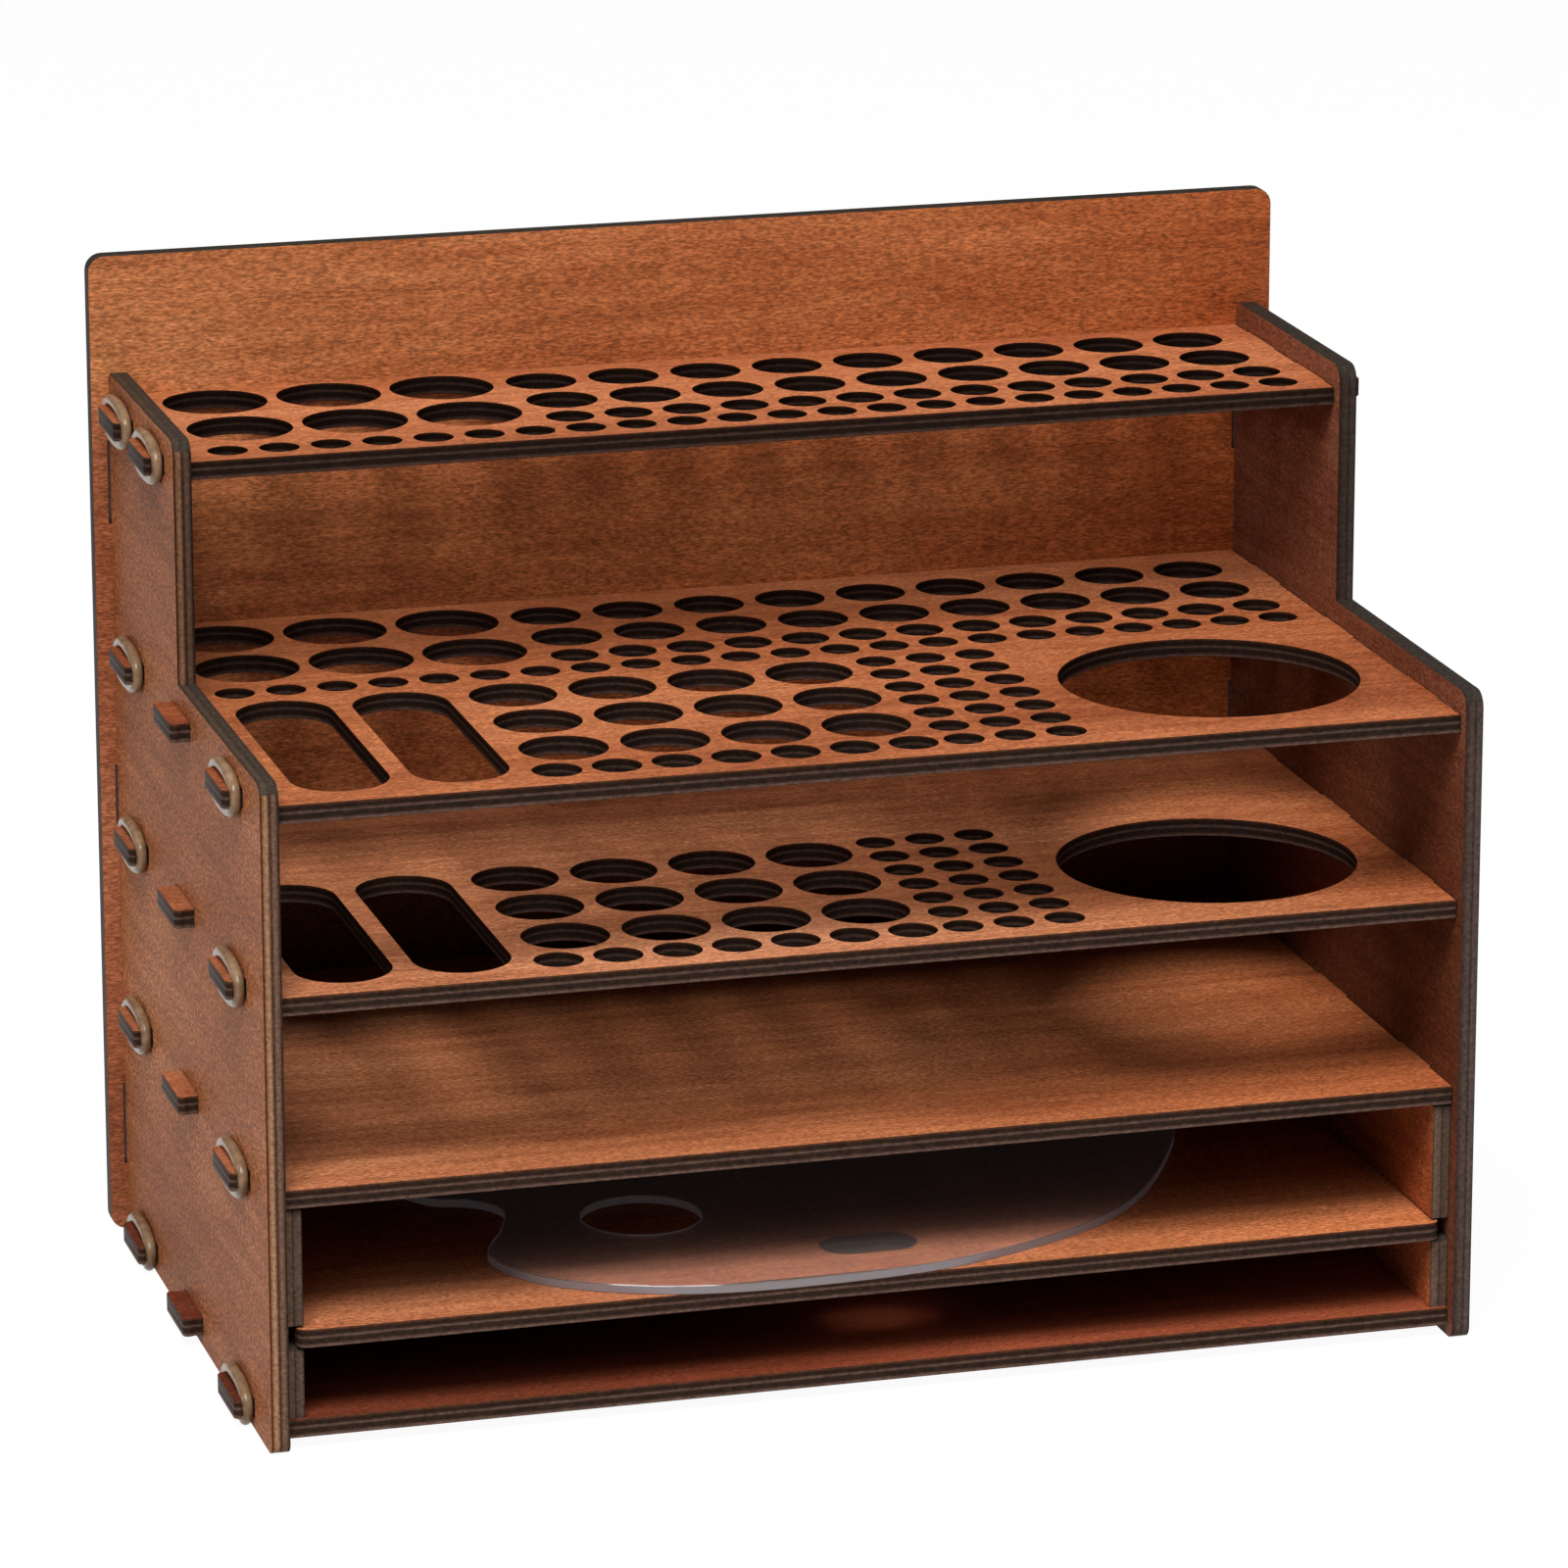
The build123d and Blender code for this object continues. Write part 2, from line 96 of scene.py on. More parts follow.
def plate(name, outline, holes, place, thickness=PLY, arris=ARRIS):
    """Sheet cut to an outline with holes. Its wall is a four-point profile carried along every
    loop: the face's edge, set in by the arris, and the cut's edge, at the bottom and at the top.
    place turns the (u, v, t) grid into x, y, z."""
    loops = [outline] + list(holes)
    rows = []
    for loop in loops:
        ahead = np.roll(loop, -1, 0) - loop
        ahead /= np.linalg.norm(ahead, axis=1, keepdims=True)
        left = np.stack([-ahead[:, 1], ahead[:, 0]], 1)
        behind = np.roll(left, 1, 0)
        mitre = (left + behind) / (1 + (left * behind).sum(1))[:, None]
        rows.append(np.stack([loop + mitre * inset for inset in (arris, 0, 0, arris)]))
    flat = np.concatenate(rows, 1)
    count = flat.shape[1]
    height = np.array([0, arris, thickness - arris, thickness])[:, None, None]
    grid = np.concatenate([flat, np.broadcast_to(height, (4, count, 1))], 2)

    index = np.arange(count)
    starts = np.cumsum([len(loop) for loop in loops])[:-1]
    follow = np.concatenate([np.roll(part, -1) for part in np.split(index, starts)])
    band = np.stack([index, follow, follow + count, index + count], 1)
    walls = [band + level * count for level in range(3)]
    caps = np.array(tessellate_polygon([[Vector((*p, 0)) for p in row[3]] for row in rows]))
    a, b, c = (flat[3][caps[:, i]] for i in range(3))
    area = np.cross(b - a, c - a)
    caps[area < 0] = caps[area < 0][:, ::-1]
    caps = caps[np.abs(area) > SLIVER]
    faces = np.concatenate(walls).tolist() + (caps + 3 * count).tolist() + caps[:, ::-1].tolist()

    mesh = bpy.data.meshes.new(name)
    mesh.from_pydata(np.stack(place(*grid.reshape(-1, 3).T), 1).tolist(), [], faces)
    mesh.shade_smooth()
    mesh.set_sharp_from_angle(angle=SHARP_TURN)
    piece = bpy.data.objects.new(name, mesh)
    bpy.context.scene.collection.objects.link(piece)
    return piece


def srgb(r, g, b):
    """Colour as read off a screen, 0 to 255, to the linear value that the shader takes."""
    c = np.array([r, g, b]) / 255
    return (*np.where(c < 0.04045, c / 12.92, ((c + 0.055) / 1.055) ** 2.4), 1)


class Finish:
    """The nodes of one material, or of the sky. A value is a socket, or else a plain number or
    colour."""

    def __init__(self, owner):
        owner.use_nodes = True
        self.nodes, self.links = owner.node_tree.nodes, owner.node_tree.links

    def give(self, node, values):
        """Links or sets a node's inputs, by name or number."""
        for key, value in values.items():
            if isinstance(value, bpy.types.NodeSocket):
                self.links.new(value, node.inputs[key])
            else:
                node.inputs[key].default_value = value

    def made(self, kind, values, output=0):
        """Adds a node with these inputs, and gives one of its outputs."""
        node = self.nodes.new(kind)
        self.give(node, values)
        return node.outputs[output]

    def where(self, kind="Object"):
        """The point's place on the piece, or its normal or another coordinate by name."""
        return self.made("ShaderNodeTexCoord", {}, kind)

    def split(self, vector):
        """The x, y and z of a vector."""
        node = self.nodes.new("ShaderNodeSeparateXYZ")
        self.give(node, {0: vector})
        return list(node.outputs)

    def math(self, operation, *values, clamp=False):
        """One step of arithmetic."""
        node = self.nodes.new("ShaderNodeMath")
        node.operation = operation
        node.use_clamp = clamp
        self.give(node, dict(enumerate(values)))
        return node.outputs[0]

    def scaled(self, value, factor, add=0.0):
        """value * factor + add."""
        return self.math("MULTIPLY_ADD", value, factor, add)

    def above(self, value, limit):
        """1 where the value is over the limit, 0 elsewhere."""
        return self.math("GREATER_THAN", value, limit)

    def span(self, value, start, end, first=0.0, last=1.0):
        """The way from start to end, carried over to the way from first to last."""
        return self.made("ShaderNodeMapRange", {"Value": value, "From Min": start, "From Max": end,
                                                "To Min": first, "To Max": last})

    def noise(self, vector, scale, octaves, rough=0.6):
        """Cloudy noise on a vector."""
        return self.made("ShaderNodeTexNoise", {"Vector": vector, "Scale": scale,
                                                "Detail": octaves, "Roughness": rough}, "Fac")

    def ramp(self, value, stops):
        """Colour at the value, between the given (position, colour) stops."""
        node = self.nodes.new("ShaderNodeValToRGB")
        while len(node.color_ramp.elements) < len(stops):
            node.color_ramp.elements.new(0.5)
        for element, (position, colour) in zip(node.color_ramp.elements, stops):
            element.position = position
            element.color = colour
        self.give(node, {0: value})
        return node.outputs[0]

    def blend(self, kind, share, a, b):
        """Colour a, with a share of b mixed or multiplied in."""
        node = self.nodes.new("ShaderNodeMix")
        node.data_type = "RGBA"
        node.blend_type = kind
        self.give(node, {0: share, 6: a, 7: b})
        return node.outputs[2]

    def multiplied(self, colour, multiplier, share=1.0):
        """The colour multiplied by another colour: the grain's shades, stains, and painted light
        and shade.
        """
        return self.blend("MULTIPLY", share, colour, multiplier)

    def bump(self, shader, height, strength, distance):
        """Gives the shader a fine relief."""
        relief = self.made("ShaderNodeBump", {"Strength": strength, "Distance": distance,
                                              "Height": height})
        self.give(shader, {"Normal": relief})


# Shades that multiply the wood's tone, from the low end of their noise to the high end.
FIBRES = [(0.32, (0.64, 0.58, 0.54, 1)), (0.5, (0.98, 0.97, 0.96, 1)),
          (0.66, (1.44, 1.43, 1.42, 1))]
SPECKS = [(0.34, (0.54, 0.5, 0.47, 1)), (0.5, (1, 1, 1, 1)), (0.66, (1.42, 1.42, 1.42, 1))]
FIGURE = [(0.0, (0.72, 0.66, 0.62, 1)), (0.05, (1, 1, 1, 1)), (0.5, (1, 1, 1, 1))]
SCORCH = [(0.34, (0.6, 0.57, 0.55, 1)), (0.5, (0.95, 0.95, 0.95, 1)), (0.66, (1.4, 1.35, 1.3, 1))]
# Painted light over the rack's width, from left to right: a painted sheen from the light on the
# left, paler and greyer on the left, redder on the right.
PAINTED_SHEEN_LEFT = [(0.0, (1.1, 1.16, 1.2, 1)), (0.45, (1.04, 1.02, 1.0, 1)),
              (1.0, (1.02, 0.88, 0.76, 1))]
# Ramps from the table up, in shares of the side panels' height: on the cut edges, darker towards
# the top; on the back panel's outer strips, darker and bluer towards the bottom; and painted shade
# on its front behind the low bays.
EDGE_RISE = [(0.0, (1.1, 1.08, 1.05, 1)), (0.68, (0.84, 0.82, 0.8, 1)),
             (0.78, (0.46, 0.44, 0.42, 1))]
BACK_STRIPS = [(0.0, (0.76, 0.7, 0.86, 1)), (0.9, (0.84, 0.78, 0.94, 1)), (1.0, (1, 1, 1, 1))]
PAINTED_SHADE_IN_BAYS = [(0.44, (0.3, 0.26, 0.3, 1)), (0.5, (1, 1, 1, 1))]
# Darker on the tabs outside the side panels.
TABS_OUTSIDE_DARKER = (0.66, 0.56, 0.54, 1)
# Walls of holes darker than the front edge: laser char, and painted shade in the holes.
HOLE_CHAR_AND_SHADE = (0.5, 0.48, 0.48, 1)
# Painted shade on the shelves' undersides.
PAINTED_SHADE_UNDER = (0.24, 0.3, 0.42, 1)
EDGE_GLOSS = 0.04
FRONT_SKIN = 0.001


def plywood(name, grain, through, start, face, edge, crown, seed, inner=(-1, PAINTED_SHADE_UNDER),
            painted_light_across=PAINTED_SHEEN_LEFT, length=300, contrast=0.75, holes_from=None, gloss=0.1):
    """Stained plywood, with its grain along one axis and its plies through another, from start.
    Faces: broad tone, flowing figure, streaks, fibres and specks, all drawn out along the grain,
    under painted light and shade that change over the rack's width. Cut edges: the plies as
    bands over the thickness, scorched by the laser, with a sootier crown where they look up,
    darker towards the top, and the walls of holes darker still, from char and painted shade.
    The face that inner names is darker, as painted shade on the shelves' undersides and partly
    on the side panels' inner faces. The tabs outside the side panels and the back panel's outer
    strips are darker, and its front behind the low bays carries painted shade."""
    material = bpy.data.materials.new(name)
    finish = Finish(material)
    place = finish.where()
    x, y, z = at = finish.split(place)
    facing = finish.split(finish.where("Normal"))

    def drawn_out(along, across, shift, octaves, rough):
        """Noise with so many cycles to the metre along and across the grain."""
        scale = [along if axis == grain else across for axis in range(3)]
        moved = finish.made("ShaderNodeMapping", {
            "Vector": place, "Location": (seed + shift, seed * 1.7, shift - seed), "Scale": scale})
        return finish.noise(moved, 1, octaves, rough)

    broad = drawn_out(4, 13, shift=1, octaves=2, rough=0.5)
    streak = drawn_out(14, 170, shift=2, octaves=4, rough=0.65)
    fibre = drawn_out(length, length * 5, shift=4, octaves=2, rough=0.65)
    speck = drawn_out(length * 2, length * 6, shift=5, octaves=1, rough=0.5)
    tone = finish.scaled(broad, 0.6, finish.scaled(streak, 0.4))
    surface = finish.ramp(tone, [(0.33, face[0]), (0.5, face[1]), (0.67, face[2])])
    surface = finish.multiplied(surface, finish.ramp(fibre, FIBRES), contrast)
    surface = finish.multiplied(surface, finish.ramp(speck, SPECKS), contrast)
    bent = finish.scaled(broad, 9.0, finish.scaled(streak, 0.5))
    growth = finish.math("PINGPONG", bent, 0.5)
    surface = finish.multiplied(surface, finish.ramp(growth, FIGURE), 0.45)
    # Painted light and shade over the rack's width.
    surface = finish.multiplied(surface, finish.ramp(finish.span(x, -SIDE_X, SIDE_X), painted_light_across))

    outside = finish.above(finish.math("ABSOLUTE", x), SIDE_X)
    up = finish.scaled(z, 1 / SIDE_TOP)
    if through == 2:
        # Darker on the tabs outside the side panels.
        surface = finish.multiplied(surface, TABS_OUTSIDE_DARKER, outside)
    elif through == 1:
        # The back panel's outer strips darker and bluer towards the bottom.
        surface = finish.multiplied(surface, finish.ramp(up, BACK_STRIPS), outside)
        # Painted shade on the back panel's front behind the low bays.
        bays = finish.ramp(finish.scaled(z, 1 / SIDE_TOP, outside), PAINTED_SHADE_IN_BAYS)
        at_front = finish.above(finish.scaled(y, -1), -start - FRONT_SKIN)
        surface = finish.multiplied(surface, bays, at_front)
    # The face that inner names is darker: painted shade on the shelves' undersides and partly on
    # the side panels' inner faces.
    inwards = finish.above(finish.scaled(facing[through], inner[0]), 0.5)
    surface = finish.multiplied(surface, inner[1], inwards)

    depth = finish.span(at[through], start, start + PLY)
    wavy = finish.scaled(fibre, 0.08, finish.scaled(depth, 1.0, -0.04))
    # Cut edges darker towards the top, a little brighter near the table.
    cut = finish.multiplied(finish.ramp(wavy, edge), finish.ramp(up, EDGE_RISE))
    looks_up = finish.above(facing[2], 0.4)
    cut = finish.blend("MIX", finish.scaled(looks_up, 0.85), cut, crown)
    mottle = drawn_out(500, 800, shift=6, octaves=3, rough=0.7)
    cut = finish.multiplied(cut, finish.ramp(mottle, SCORCH), 0.85)
    # Walls of holes and other edges behind the front edge darker: laser char, and painted shade in
    # the holes.
    if holes_from is not None:
        behind = finish.above(y, holes_from)
        cut = finish.multiplied(cut, HOLE_CHAR_AND_SHADE, finish.math("SUBTRACT", behind, outside, clamp=True))

    is_face = finish.above(finish.math("ABSOLUTE", facing[through]), 0.85)
    shader = finish.nodes["Principled BSDF"]
    finish.give(shader, {"Base Color": finish.blend("MIX", is_face, cut, surface),
                         "Roughness": finish.scaled(fibre, 0.3, 0.36),
                         "Specular IOR Level": gloss + EDGE_GLOSS})
    if gloss:
        finish.give(shader, {"Specular IOR Level": finish.scaled(is_face, gloss, EDGE_GLOSS)})
    finish.bump(shader, fibre, 0.4, 0.00015)
    return material


def dress(piece, material, node, body="rack"):
    """Gives a piece its material, lets it stand for a CAD node and rides it on the node's body."""
    piece.data.materials.clear()
    piece.data.materials.append(material)
    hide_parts(node)
    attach(piece, body)


# Plies across the thickness, from left to right: pale wood between dark glue lines.
LEFT_EDGE = [(0.0, srgb(84, 44, 24)), (0.08, srgb(92, 50, 28)), (0.15, srgb(150, 108, 80)),
             (0.3, srgb(172, 132, 102)), (0.42, srgb(126, 94, 70)), (0.49, srgb(66, 40, 26)),
             (0.56, srgb(92, 66, 52)), (0.68, srgb(124, 96, 82)), (0.82, srgb(106, 82, 70)),
             (0.92, srgb(60, 43, 33)), (1.0, srgb(58, 42, 32))]
RIGHT_EDGE = [(0.0, srgb(70, 46, 40)), (0.12, srgb(72, 53, 47)), (0.34, srgb(88, 73, 68)),
              (0.5, srgb(82, 68, 62)), (0.58, srgb(62, 48, 43)), (0.7, srgb(94, 79, 74)),
              (0.88, srgb(90, 76, 72)), (1.0, srgb(50, 40, 38))]
SOOT = srgb(54, 48, 42)
SIDE_FACE = [srgb(122, 68, 39), srgb(151, 90, 56), srgb(180, 116, 79)]
# Inner faces of the side panels: darker and greyer, partly a darker stain, partly painted shade.
INNER_STAIN_AND_SHADE = (0.5, 0.55, 0.8, 1)
SHELVES = {name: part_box(name) for name in ("bottom_shelf", "plain_shelf", "lower_holder_shelf",
                                           "upper_holder_shelf", "top_shelf")}
LOCK_TAB = 0.035
LOCK_REAR = 0.011
PLAIN_TAB = 0.029
LOWER_TABS = [(FRONT_Y + 0.043, LOCK_TAB), (FRONT_Y + 0.120, PLAIN_TAB),
              (FRONT_Y + 0.197, LOCK_TAB)]
TABS = {name: LOWER_TABS for name in SHELVES}
TABS["top_shelf"] = [(FRONT_Y + 0.156, LOCK_TAB), (FRONT_Y + 0.206, LOCK_TAB)]


def side_outline():
    """Stepped outline in y and z, anticlockwise, with the three rear tabs."""
    corners = [(FRONT_Y, 0, FOOT_CORNER), (BACK_Y, 0, 0)]
    for z in REAR_TAB_Z:
        low, high = z - REAR_TAB / 2, z + REAR_TAB / 2
        corners += [(BACK_Y, low, 0), (SIDE_TAB_END, low, REAR_TAB_CORNER),
                    (SIDE_TAB_END, high, REAR_TAB_CORNER), (BACK_Y, high, 0)]
    corners += [(BACK_Y, SIDE_TOP, REAR_CORNER), (SIDE_STEP_Y, SIDE_TOP, ROUND_CORNER),
                (SIDE_STEP_Y, SIDE_STEP_Z, 0), (FRONT_Y, SIDE_STEP_Z, ROUND_CORNER)]
    return rounded_outline(corners)


def side_slots():
    """A slot round each shelf tab, no longer than the tab behind its neck."""
    slots = []
    for name, (low, high) in SHELVES.items():
        for y, width in TABS[name]:
            rear = LOCK_REAR if width == LOCK_TAB else width / 2
            slots.append(slot_hole(y + (rear - width / 2) / 2, (low.z + high.z) / 2 + SLOT_FIT / 2,
                                   width / 2 + rear + 2 * SLOT_FIT, PLY + 3 * SLOT_FIT))
    return slots


for word, low_x, inwards, edge, seed, contrast in (
        ("left", -SIDE_X, 1, LEFT_EDGE, 3.0, 0.9),
        ("right", SIDE_X - PLY, -1, RIGHT_EDGE, 8.0, 0.6)):
    panel = plate(f"{word}_panel", side_outline(), side_slots(), lambda u, v, t: (low_x + t, u, v))
    wood = plywood(f"{word}_panel_ply", 1, 0, low_x, SIDE_FACE, edge, SOOT, seed,
                   inner=(inwards, INNER_STAIN_AND_SHADE), length=200, contrast=contrast, gloss=0.0)
    dress(panel, wood, f"{word}_side_panel")

# ---- Back panel ----
# One flat sheet of the same plywood with rounded corners. It is taller and wider than the rack,
# and the side panels' tabs come through six slots in it.
BACK_SLOT_FIT = 0.0008
BACK_FACE = [srgb(134, 72, 40), srgb(170, 100, 60), srgb(194, 124, 80)]
BACK_INNER = (0.9, 0.88, 0.86, 1)
# Painted light over the back panel's width: a painted sheen on the left, redder and darker to the
# right.
BACK_PAINTED_SHEEN = [(0.0, (1.08, 1.2, 1.22, 1)), (0.4, (1.0, 1.0, 0.96, 1)),
                (1.0, (0.8, 0.6, 0.44, 1))]
# Plies from the front face to the rear one, and on the shelves from the lower face to the upper.
GLUE_LINE = srgb(48, 34, 28)
SHELF_EDGE = [(0.0, srgb(70, 52, 45)), (0.08, srgb(112, 86, 77)), (0.15, srgb(84, 64, 56)),
              (0.26, GLUE_LINE), (0.48, srgb(52, 38, 31)), (0.54, srgb(98, 77, 68)),
              (0.61, srgb(88, 68, 59)), (0.69, srgb(46, 32, 25)), (0.86, srgb(50, 34, 27)),
              (0.94, srgb(84, 54, 38)), (1.0, srgb(110, 68, 46))]

back_low, back_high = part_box("back_panel")
corners = [(x, z, ROUND_CORNER) for x, z in (
    (back_low.x, 0), (back_high.x, 0), (back_high.x, back_high.z), (back_low.x, back_high.z))]
slots = [slot_hole(x, z, PLY + 2 * BACK_SLOT_FIT, REAR_TAB + 2 * SLOT_FIT)
         for x in (-SIDE_X + PLY / 2, SIDE_X - PLY / 2) for z in REAR_TAB_Z]
back = plate("back", rounded_outline(corners), slots, lambda u, v, t: (u, back_high.y - t, v))
wood = plywood("back_ply", 0, 1, back_low.y, BACK_FACE, SHELF_EDGE, SOOT, 5.0,
               inner=(1, BACK_INNER), painted_light_across=BACK_PAINTED_SHEEN, contrast=0.7)
dress(back, wood, "back_panel")

# ---- Plain shelves ----
# The bottom shelf and the plain shelf are sheets without holes. Each has two hooked tabs and one
# plain tab on each side, which come through the side panels.
SHELF_FACE = [srgb(150, 86, 53), srgb(190, 119, 78), srgb(214, 145, 102)]
# Painted light over the plain shelf's width: paler and bluer to the left, redder to the right.
PLAIN_PAINTED_LIGHT = [(0.0, (1.04, 1.08, 1.16, 1)), (0.45, (1.06, 1.04, 1.03, 1)),
              (1.0, (0.98, 0.78, 0.64, 1))]
BOTTOM_FACE = [srgb(112, 52, 32), srgb(142, 70, 46), srgb(164, 88, 62)]
# Painted light over the bottom shelf's width: darker to the left, much brighter to the right.
BOTTOM_PAINTED_LIGHT = [(0.0, (0.76, 0.82, 0.86, 1)), (0.5, (1, 1, 1, 1)), (1.0, (1.7, 1.85, 1.85, 1))]
NOTCH = 0.0042
NECK = 0.0042
TIP_ROUND = 0.0018
REAR_TIP_ROUND = 0.0026
HOOK_ROUND = 0.0003
NOTCH_ROUND = 0.0004
BARB = 0.0005
BARB_SLOPE = 0.0012
BARB_ROUND = 0.001
SHOULDER_GAP = 0.0004
FRONT_EDGE = 0.002


def plain_tab(y, wall, head, end):
    """Right-hand tab that is a barb wider past the side panel than in its slot."""
    half, neck = PLAIN_TAB / 2, PLAIN_TAB / 2 - BARB
    slope = head - BARB_SLOPE
    return [(wall, y - neck, 0), (slope, y - neck, BARB_ROUND), (head, y - half, BARB_ROUND),
            (end, y - half, TIP_ROUND), (end, y + half, TIP_ROUND), (head, y + half, BARB_ROUND),
            (slope, y + neck, BARB_ROUND), (wall, y + neck, 0)]


def hooked_tab(y, wall, head, end):
    """Right-hand tab with a notch at its front for the rubber ring."""
    front, rear = y - LOCK_TAB / 2, y + LOCK_REAR
    return [(wall, front, 0), (SIDE_X, front, 0), (SIDE_X, front + NOTCH, NOTCH_ROUND),
            (head, front + NOTCH, NOTCH_ROUND), (head, front, HOOK_ROUND), (end, front, TIP_ROUND),
            (end, rear, REAR_TIP_ROUND), (wall, rear, 0)]


def shelf_outline(name):
    """Outline in x and y, anticlockwise: up the right side with its tabs, and back on the left."""
    low, high = SHELVES[name]
    wall, head = SIDE_X - PLY - SHOULDER_GAP, SIDE_X + NECK
    right = [(wall, low.y, 0)]
    for y, width in TABS[name]:
        right += (hooked_tab if width == LOCK_TAB else plain_tab)(y, wall, head, high.x)
    right.append((wall, high.y, 0))
    return rounded_outline(right + [(-x, y, r) for x, y, r in reversed(right)], steps=5)


def shelf(name, holes, seed, face=SHELF_FACE, painted_light_across=PAINTED_SHEEN_LEFT):
    """Lays a sheet with the shelf's outline and holes at the shelf's height."""
    low = SHELVES[name][0]
    sheet = plate(name + "_sheet", shelf_outline(name), holes, lambda u, v, t: (u, v, low.z + t))
    wood = plywood(name + "_ply", 0, 2, low.z, face, SHELF_EDGE, GLUE_LINE, seed,
                   painted_light_across=painted_light_across, holes_from=low.y + FRONT_EDGE)
    dress(sheet, wood, name)


shelf("bottom_shelf", [], 11.0, BOTTOM_FACE, BOTTOM_PAINTED_LIGHT)
shelf("plain_shelf", [], 14.0, painted_light_across=PLAIN_PAINTED_LIGHT)

# ---- Holder shelves ----
# Three sheets with round holes for pots, bottles, jars and brushes, two long slots and a hole for
# a cup. The lower two carry the same front group one above the other.
HOLDER_FACE = [srgb(138, 76, 46), srgb(174, 106, 69), srgb(198, 131, 92)]
# Painted light over the holder shelves' width: the lower one paler to the left and redder to the
# right, the upper and top ones a little darker on the left and warmer throughout.
HOLDER_PAINTED_LIGHT = [(0.0, (1.16, 1.28, 1.4, 1)), (0.5, (1.16, 1.24, 1.34, 1)),
               (0.75, (1.04, 1.0, 0.95, 1)), (1.0, (0.9, 0.74, 0.62, 1))]
UPPER_PAINTED_LIGHT = [(0.0, (0.94, 0.88, 0.8, 1)), (0.5, (1.0, 0.94, 0.88, 1)),
              (1.0, (1.0, 0.88, 0.78, 1))]
POT, BOTTLE, JAR, WIDE_BRUSH, BRUSH, CUP = 0.0345, 0.0235, 0.0285, 0.0158, 0.0130, 0.0985
LONG_SLOT = (0.0315, 0.1105)
POT_X = -0.1682 + 0.0384 * np.arange(3)
POT_ROWS = 0.0394
BOTTLE_X = np.linspace(-0.0573, 0.1699, 9)
BOTTLE_ROWS = 0.0284
WIDE_X = np.linspace(-0.0606, 0.1767, 13)
BOTTLES_TO_WIDE = 0.0238
BRUSH_X = np.linspace(-0.1785, 0.1785, 22)
WIDE_TO_BRUSHES = 0.0168
UPPER_FROM_BACK = 0.023
TOP_FROM_BACK = 0.0195
FRONT_ROW_X = np.linspace(-0.1007, 0.0157, 7)
FRONT_ROW_Y = FRONT_Y + 0.0204
MIDDLE_Y = FRONT_ROW_Y + 0.0495
JAR_X = np.linspace(-0.0923, 0.0073, 4)
JAR_Y = FRONT_ROW_Y + 0.0246 + 0.0332 * np.arange(3)
BLOCK_X = 0.0324 + 0.017 * np.arange(3)
BLOCK_Y = FRONT_ROW_Y + 0.0165 * np.arange(7)
CUP_X = 0.131


def round_hole(u, v, diameter, steps):
    """Clockwise circle: u + r cos a, v - r sin a, with a going once round."""
    a = np.arange(steps) * (2 * np.pi / steps)
    return np.stack([u + diameter / 2 * np.cos(a), v - diameter / 2 * np.sin(a)], 1)


def long_hole(u, v, width, length, steps=20):
    """Clockwise slot with round ends: a circle of the width, its far half moved along v."""
    a = np.pi / 2 - np.linspace(-np.pi / 2, np.pi / 2, steps)
    half = np.stack([np.cos(a), np.sin(a)], 1) * width / 2
    reach = np.array([0, (length - width) / 2])
    return np.concatenate([half + reach, -half - reach]) + (u, v)


def grid_of_holes(xs, ys, diameter, steps):
    """Round holes at every crossing of the columns and rows."""
    return [round_hole(x, y, diameter, steps) for y in ys for x in xs]


def rear_rows(from_back):
    """Rows along the back of a shelf, from the back panel forwards."""
    first_y = BACK_Y - from_back
    wide_y = first_y - BOTTLE_ROWS - BOTTLES_TO_WIDE
    return (grid_of_holes(POT_X, (first_y, first_y - POT_ROWS), POT, 56)
            + grid_of_holes(BOTTLE_X, (first_y, first_y - BOTTLE_ROWS), BOTTLE, 44)
            + grid_of_holes(WIDE_X, (wide_y,), WIDE_BRUSH, 32)
            + grid_of_holes(BRUSH_X, (wide_y - WIDE_TO_BRUSHES,), BRUSH, 28))


def front_group():
    """Slots, jars, brushes and the cup hole of the two lower holder shelves."""
    return (grid_of_holes(FRONT_ROW_X, (FRONT_ROW_Y,), WIDE_BRUSH, 32)
            + grid_of_holes(JAR_X, JAR_Y, JAR, 48)
            + grid_of_holes(BLOCK_X, BLOCK_Y, BRUSH, 28)
            + [long_hole(x, MIDDLE_Y, *LONG_SLOT) for x in POT_X[:2]]
            + [round_hole(CUP_X, MIDDLE_Y, CUP, 120)])


shelf("lower_holder_shelf", front_group(), 17.0, HOLDER_FACE, HOLDER_PAINTED_LIGHT)
shelf("upper_holder_shelf", front_group() + rear_rows(UPPER_FROM_BACK), 21.0,
      HOLDER_FACE, UPPER_PAINTED_LIGHT)
shelf("top_shelf", rear_rows(TOP_FROM_BACK), 24.0, HOLDER_FACE, UPPER_PAINTED_LIGHT)

# ---- Rubber rings ----
# Moulded rings of tan rubber, stretched over the tabs' heads into their notches. They bow out a
# little between the corners, hang a little low and lie against the side panels.
CORD = 0.0040
SAG = 0.0007
RING_GAP = 0.0001
RING_HALF_HEIGHT = 0.0062
RING_REACH = (LOCK_TAB / 2 - NOTCH + CORD / 2 + RING_GAP, RING_HALF_HEIGHT)
OVAL_POWER = 2.5
OVER_TABLE = 0.0002
STEPS_ALONG, STEPS_ROUND = 120, 20
RUBBER_TONES = [(0.3, srgb(112, 85, 60)), (0.5, srgb(135, 106, 78)), (0.7, srgb(154, 126, 98))]
RUBBER_GRIT = [(0.3, (0.85, 0.85, 0.85, 1)), (0.6, (1, 1, 1, 1))]


